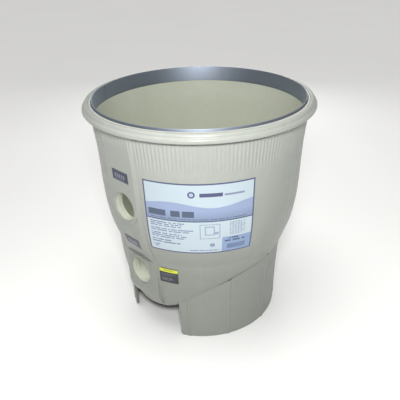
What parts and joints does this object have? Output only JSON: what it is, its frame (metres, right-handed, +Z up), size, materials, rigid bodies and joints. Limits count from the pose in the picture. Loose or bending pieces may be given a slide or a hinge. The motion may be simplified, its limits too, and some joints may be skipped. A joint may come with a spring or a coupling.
{
  "type": "pool filter lower tank",
  "caption": "Open moulded lower tank of a pool filter with a steel-lined mouth, two flat-faced plumbing ports, a labelled wall, a cut-away base skirt and a screw-capped drain.",
  "frame": {"origin": "on the floor, at the tank's vertical axis", "axes": "+Z up along the tank's axis, the two plumbing ports face -Y, the large label is on the +X -Y side"},
  "size_m": [0.586, 0.586, 0.619],
  "materials": {
    "moulded_shell": "satin moulded almond-grey plastic",
    "moulded_skirt": "satin moulded almond-grey plastic, slightly duller than the bowl",
    "ring_steel": "stainless strip, brushed round the ring",
    "seal_rubber": "black moulded rubber",
    "seal_silicone": "off-white moulded silicone",
    "label_film": "printed film, pale ground with a navy border and a blue-grey wave",
    "placard_film": "dark printed film",
    "caution_film": "printed film, yellow strip over near-black",
    "drain_plastic": "black moulded plastic"
  },
  "bodies": {
    "tank": {"tank_shell": "moulded_shell", "base_skirt": "moulded_skirt", "main_label": "label_film", "upper_port_placard": "placard_film", "lower_port_placard": "placard_film", "caution_placard": "caution_film", "drain_spigot": "drain_plastic", "drain_gasket": "seal_rubber", "drain_lock_nut": "drain_plastic"},
    "mouth_ring": {"mouth_ring": "ring_steel", "ring_lap_strap": "ring_steel"},
    "tank_o_ring": {"tank_o_ring": "seal_silicone"},
    "drain_seal": {"drain_cap_o_ring": "seal_rubber"},
    "drain_cap": {"drain_cap": "drain_plastic"}
  },
  "joints": [
    {"name": "mouth_ring_lift", "type": "slide", "parent": "tank", "child": "mouth_ring", "axis": [0, 0, 1], "range_m": [0, 0.12]},
    {"name": "tank_o_ring_lift", "type": "slide", "parent": "tank", "child": "tank_o_ring", "axis": [0, 0, 1], "range_m": [0, 0.06]},
    {"name": "drain_cap_travel", "type": "slide", "parent": "tank", "child": "drain_seal", "axis": [0, 0, -1], "range_m": [0, 0.0105]},
    {"name": "drain_cap_turn", "type": "hinge", "parent": "drain_seal", "child": "drain_cap", "pos_m": [0, -0.05, 0.043], "axis": [0, 0, -1], "range_deg": [0, 1080]}
  ],
  "couplings": [
    {"joint": "drain_cap_travel", "follows": "drain_cap_turn", "m_per_rad": 0.00055704}
  ]
}
